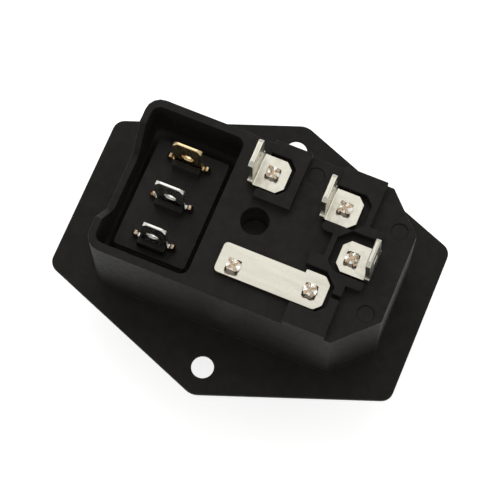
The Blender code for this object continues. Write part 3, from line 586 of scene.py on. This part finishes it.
def refill(shape, face):
    # lays fresh triangles inside the outline of a face, and only inside it
    corners = list(face.verts)
    side = (corners[1].co - corners[0].co).normalized()
    up = face.normal.cross(side)
    level = face.normal * corners[0].co.dot(face.normal)
    flat = [Vector((v.co.dot(side), v.co.dot(up))) for v in corners]
    shape.faces.remove(face)
    outline = [list(range(len(flat)))]
    points, _, made, origin, _, _ = delaunay_2d_cdt(flat, [], outline, 1, 1e-8)
    verts = []
    for point, source in zip(points, origin):
        spot = side * point.x + up * point.y + level
        verts.append(corners[source[0]] if source else shape.verts.new(spot))
    for three in made:
        shape.faces.new([verts[i] for i in three])


def cornerOn(edge, corners):
    # how far along the edge a loose corner lies, with that corner
    start, end = edge.verts
    span = end.co - start.co
    for vert in corners:
        if vert in edge.verts:
            continue
        share = (vert.co - start.co).dot(span) / span.length_squared
        off = start.co + span * share - vert.co
        if 0 < share < 1 and off.length < edgeSet["merge"]:
            return share, vert
    return None


def closeSeams(shape):
    # where a corner lies along its neighbour's edge, splits the edge and joins the two
    for _ in range(edgeSet["seamPasses"]):
        bmesh.ops.remove_doubles(shape, verts=shape.verts, dist=edgeSet["merge"])
        loose = [edge for edge in shape.edges if len(edge.link_faces) == 1]
        corners = list(dict.fromkeys(vert for edge in loose for vert in edge.verts))
        joined = {}
        for edge in loose:
            found = cornerOn(edge, corners)
            if found:
                _, vert = bmesh.utils.edge_split(edge, edge.verts[0], found[0])
                joined[vert] = found[1]
        if not joined:
            return
        bmesh.ops.weld_verts(shape, targetmap=joined)


def thinTip(shape):
    # coined tip of an upright tab
    level = max(v.co.z for v in shape.verts) - tinSet["tipDepth"]
    tips = [edge for edge in shape.edges
            if min(v.co.z for v in edge.verts) > level and edge.calc_length() > tinSet["tipLength"]]
    bmesh.ops.bevel(shape, geom=tips, offset=tinSet["tipCut"], segments=1, affect="EDGES",
                    clamp_overlap=True)


def shiftHoles(shape):
    # the plates' square holes sit under the heads, which lean a little towards -Y
    shrink = headSet["holeShrink"]
    for node in headSet["heads"]:
        x, y = headPlace(node)
        dx, dy, stretch, _ = headSet["heads"][node]
        for vert in shape.verts:
            across, up = vert.co.x - x + dx, vert.co.y - y + dy
            if max(abs(across), abs(up)) < headSet["holeReach"] * headSet["half"]:
                vert.co.x = x + shrink * across
                vert.co.y = y + shrink * up * stretch + headSet["lean"]


def trimTail(shape, node):
    # takes the plain end off a tail and puts the staked head there
    x, y = headPlace(node)
    everything = shape.verts[:] + shape.edges[:] + shape.faces[:]
    level = headSet["foot"] - headSet["overlap"]
    cut = bmesh.ops.bisect_plane(shape, geom=everything, plane_co=(0, 0, level),
                                 plane_no=(0, 0, 1), clear_outer=True)
    rim = [part for part in cut["geom_cut"] if isinstance(part, bmesh.types.BMEdge)]
    bmesh.ops.holes_fill(shape, edges=rim)
    addHead(shape, x, y, *headSet["heads"][node][2:])


def softened(node, pieceName, width, segments=2):
    # the CAD node's own shape with small rounded edges, for the light to catch
    source = nodes[node]
    data = source.data.copy()
    shape = bmesh.new()
    shape.from_mesh(data)
    bmesh.ops.remove_doubles(shape, verts=shape.verts, dist=edgeSet["merge"])
    bmesh.ops.dissolve_limit(shape, angle_limit=math.radians(edgeSet["flatTo"]),
                             verts=shape.verts, edges=shape.edges)
    if node.endswith("_terminal"):
        thinTip(shape)
    if node.endswith("_terminal") or node == "link_plate":
        shiftHoles(shape)
    bmesh.ops.bevel(shape, geom=sharpEdges(shape, width), offset=width, segments=segments,
                    profile=0.5, affect="EDGES", clamp_overlap=False)
    for face in awkward(shape):
        refill(shape, face)
    closeSeams(shape)
    if node in headSet["heads"]:
        trimTail(shape, node)
    shape.to_mesh(data)
    shape.free()
    piece = addObject(pieceName, data)
    if "custom_normal" in data.attributes:
        data.attributes.remove(data.attributes["custom_normal"])
    for face in data.polygons:
        face.use_smooth = True
    data.set_sharp_from_angle(angle=math.radians(edgeSet["smoothTo"]))
    even = piece.modifiers.new("even", "WEIGHTED_NORMAL")
    even.keep_sharp = True
    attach(piece, source["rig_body"])
    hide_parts(node)
    return piece


def paint(piece, material):
    piece.data.materials.clear()
    piece.data.materials.append(material)


# painted fill light: deep recesses are painted paler the less light comes in, which keeps them from
# going fully black
recessSet = {
    "rear": 0.0189,
    "bay": ((-0.02125, -0.01215), (-0.00555, 0.01215)),
    "bayDepth": (0.0050, 0.0140),
    "gapDepth": (0.0088, 0.0118),        # beside the switch body
    "hole": (0.00073, 0.0002, 0.0024),   # x, y, radius of the blind hole
    "holeDepth": (0.0010, 0.0050),
    "holeFloor": 0.3,                    # how much less painted fill shows on its floor
    "blend": 0.0001,
    "paintedFill": (0.085, 0.079, 0.073),
    "gapPaintedFill": (0.21, 0.203, 0.196),
}


def paintFillInRecesses(look):
    ax, ay, az = look.axes()
    depth = recessSet["rear"] - az
    blend = recessSet["blend"]
    (lowX, lowY), (highX, highY) = recessSet["bay"]
    inBay = look.above(ax, lowX, blend) * look.below(ax, highX, blend)
    inBay = inBay * look.below(ay.size(), highY, blend)
    x, y, radius = recessSet["hole"]
    across, up = ax - x, ay - y
    inHole = look.below((across * across + up * up).root(), radius + blend, blend)
    inHole = inHole * look.ramp(depth, *recessSet["holeDepth"])
    inHole = inHole * (1 - recessSet["holeFloor"] * look.facing(2))
    deep = inBay * look.ramp(depth, *recessSet["bayDepth"])
    # painted fill light deep in the bay and the blind hole, and more of it in the gap beside the
    # switch body
    look.over(deep.most(inHole), recessSet["paintedFill"])
    look.over(inBay * look.ramp(depth, *recessSet["gapDepth"]), recessSet["gapPaintedFill"])


# round ejector marks on the rear face, each with a line of painted shade where its step meets the
# face
markSet = {
    "centres": ((0.00674, 0.0107), (0.0220, 0.0071), (0.0220, -0.0071)),
    "radius": 0.00135,
    "floor": 0.0187,
    "blend": 0.0001,
    "line": (0.000039, 0.00013),   # full up to the first, gone at the second
    "ringShade": (0.0060, 0.0056, 0.0050),
}


def lineMarks(look):
    ax, ay, az = look.axes()
    onFace = look.above(az, markSet["floor"] - markSet["blend"], markSet["blend"])
    for x, y in markSet["centres"]:
        across, up = ax - x, ay - y
        off = ((across * across + up * up).root() - markSet["radius"]).size()
        # painted shade along each ring's step
        look.over(look.ramp(off, *markSet["line"], 1.0, 0.0) * onFace, markSet["ringShade"])


def dressMouldings():
    black = moulded("mouldedBlack")
    paintFillInRecesses(black)
    lineMarks(black)
    plain = moulded("drawerBlack")
    housing = softened("housing", "housingMoulding", edgeSet["housing"])
    paint(housing, black.material)
    drawer = softened("fuse_drawer", "drawerMoulding", edgeSet["drawer"])
    paint(drawer, plain.material)
    print("mouldings dressed")


# the switch, smoother than the housing, with a satin rocker
switchSet = {
    "colour": (0.0140, 0.0131, 0.0115),
    "roughness": (0.42, 0.52),
    "rocker": {"roughness": (0.26, 0.34), "specular": 0.4, "grainStrength": 0.15},
    "paintedSideLight": (0.032, 0.030, 0.026),   # painted light on the body's sides, behind the panel
    "paintedSideTurn": (0.3, 0.7, 1.0, 0.0),
    "paintedSideFrom": (0.0, 0.001),
    "gapPaintedFill": (0.19, 0.182, 0.170),    # more painted light on the same sides, up to its top
    "gapTo": (0.0110, 0.0124, 1.0, 0.0),
}


def dressSwitch():
    colour = switchSet["colour"]
    black = moulded("switchBlack", colour=colour, roughness=switchSet["roughness"])
    # painted light: the body's sides behind the panel are paler, most of all in the gap up to its
    # top
    side = black.ramp(black.facing(2), *switchSet["paintedSideTurn"])
    up = black.axes()[2]
    behind = side * black.ramp(up, *switchSet["paintedSideFrom"])
    black.over(behind, switchSet["paintedSideLight"])
    black.over(behind * black.ramp(up, *switchSet["gapTo"]), switchSet["gapPaintedFill"])
    satin = moulded("rockerBlack", colour=colour, **switchSet["rocker"])
    white = plainWhite("markWhite")
    shell = softened("switch_body", "switchShell", edgeSet["switch"])
    paint(shell, black.material)
    paddle = softened("rocker", "rockerPaddle", edgeSet["rocker"], 3)
    paint(paddle, satin.material)
    for name in ("mark_on", "mark_off", "plunger"):
        paint(nodes[name], white)
    silver = bladeMetal("bladeSilver", bladeSet["silver"])
    gold = bladeMetal("bladeGold", bladeSet["gold"])
    for node, metal, slot in (("switch_tab_a", gold, "brass"),
                              ("switch_tab_common", silver, "tinned_sheet"),
                              ("switch_tab_b", silver, "tinned_sheet")):
        name = "blade" + node.removeprefix("switch_tab").title()
        paint(softened(node, name, edgeSet["blade"]), metal)
    print("switch dressed")


def dressTerminals():
    flat = shearedSheet("tinPlate", tinSet["stretch"])
    # two copies of one tin: the fused and neutral tabs get painted reflection on their faces, the
    # earth tab does not
    sheenPaintedTin = shearedSheet("tinTabSheenPainted", tinSet["tabStretch"], tinSet["paintedTabSheen"])
    dull = shearedSheet("tinTabPlain", tinSet["tabStretch"])
    for name, node, metal in (("fusedTab", "fused_terminal", sheenPaintedTin),
                              ("neutralTab", "neutral_terminal", sheenPaintedTin),
                              ("earthTab", "earth_terminal", dull),
                              ("linkStrip", "link_plate", flat)):
        paint(softened(node, name, edgeSet["plate"]), metal)
    for node in headSet["heads"]:
        first, last = node.split("_")[0], node.split("_")[-1].title()
        metal = stakedMetal("staked" + first.title() + last, *headPlace(node))
        paint(softened(node, first + last, edgeSet["tail"]), metal)
    print("terminals dressed")


# metals of the fuses, the spring and the contact lever
innerSet = {
    "nickel": {"colour": (0.70, 0.69, 0.66), "stain": (0.60, 0.58, 0.54),
               "stretch": (1.0, 0.2, 1.0), "roughness": (0.16, 0.28)},
    "springSteel": {"colour": (0.55, 0.55, 0.56), "stain": (0.45, 0.44, 0.43),
                    "stretch": (1.0, 1.0, 1.0), "roughness": (0.25, 0.40)},
    "leverBrass": {"colour": (0.80, 0.60, 0.35), "stain": (0.62, 0.44, 0.24),
                   "stretch": (1.0, 0.2, 1.0), "roughness": (0.20, 0.35)},
}


def dressInside():
    metals = {name: sheetMetal(name, metal).material for name, metal in innerSet.items()}
    glass = clearGlass("fuseTube")
    for name, node in nodes.items():
        if name.endswith("_glass"):
            paint(node, glass)
        elif "_cap_" in name or name.endswith("_wire"):
            paint(node, metals["nickel"])
    paint(nodes["plunger_spring"], metals["springSteel"])
    paint(nodes["contact_lever"], metals["leverBrass"])
    print("inside dressed")


# plain white floor under the part, lit and bright to the camera
floorSet = {
    "drop": 0.009,   # clear of the drawer when it is pulled out
    "half": 1.6,
    "white": (0.80, 0.80, 0.79),
    "roughness": 0.9,
    "glow": 0.68,
}


def seenDirectly(tree):
    path = tree.nodes.new("ShaderNodeLightPath").outputs
    seen = Wire(path["Is Camera Ray"]).most(Wire(path["Is Glossy Ray"]))
    return seen.most(Wire(path["Is Transmission Ray"]))


def makeFloor():
    level = cadBox[0].z - floorSet["drop"]
    half = floorSet["half"]
    data = bpy.data.meshes.new("studioFloor")
    data.from_pydata([(-half, -half, level), (half, -half, level),
                      (half, half, level), (-half, half, level)], [], [(0, 1, 2, 3)])
    floor = addObject("studioFloor", data)
    look = Finish("floorWhite")
    look.set("Base Color", shade(floorSet["white"]))
    look.set("Roughness", floorSet["roughness"])
    look.set("Specular IOR Level", 0.0)
    look.set("Emission Color", look.mix(seenDirectly(look.tree), (0, 0, 0, 1), (1, 1, 1, 1)))
    look.set("Emission Strength", floorSet["glow"])
    floor.data.materials.append(look.material)


# soft light: a pale world and one large lamp high behind the part
lightSet = {
    "world": 0.54,
    "keyFrom": (-0.12, 0.36, 0.60),
    "keySize": 0.62,
    "keyPower": 1.30,
}


def makeLight():
    world = bpy.data.worlds.new("paleWorld")
    bpy.context.scene.world = world
    world.use_nodes = True
    ground = world.node_tree.nodes["Background"].inputs
    ground["Color"].default_value = (1.0, 1.0, 1.0, 1.0)
    dim = lightSet["world"]
    join(seenDirectly(world.node_tree) * (1.0 - dim) + dim, ground["Strength"])
    data = bpy.data.lights.new("keyLamp", "AREA")
    data.shape = "SQUARE"
    data.size = lightSet["keySize"]
    data.energy = lightSet["keyPower"]
    lamp = addObject("keyLamp", data)
    lamp.location = lightSet["keyFrom"]
    lookAlong(lamp, -Vector(lightSet["keyFrom"]))


makeCamera()
dressMouldings()
dressSwitch()
dressTerminals()
dressInside()
makeFloor()
makeLight()
bpy.context.scene.view_settings.view_transform = "Standard"

print("scene ready")
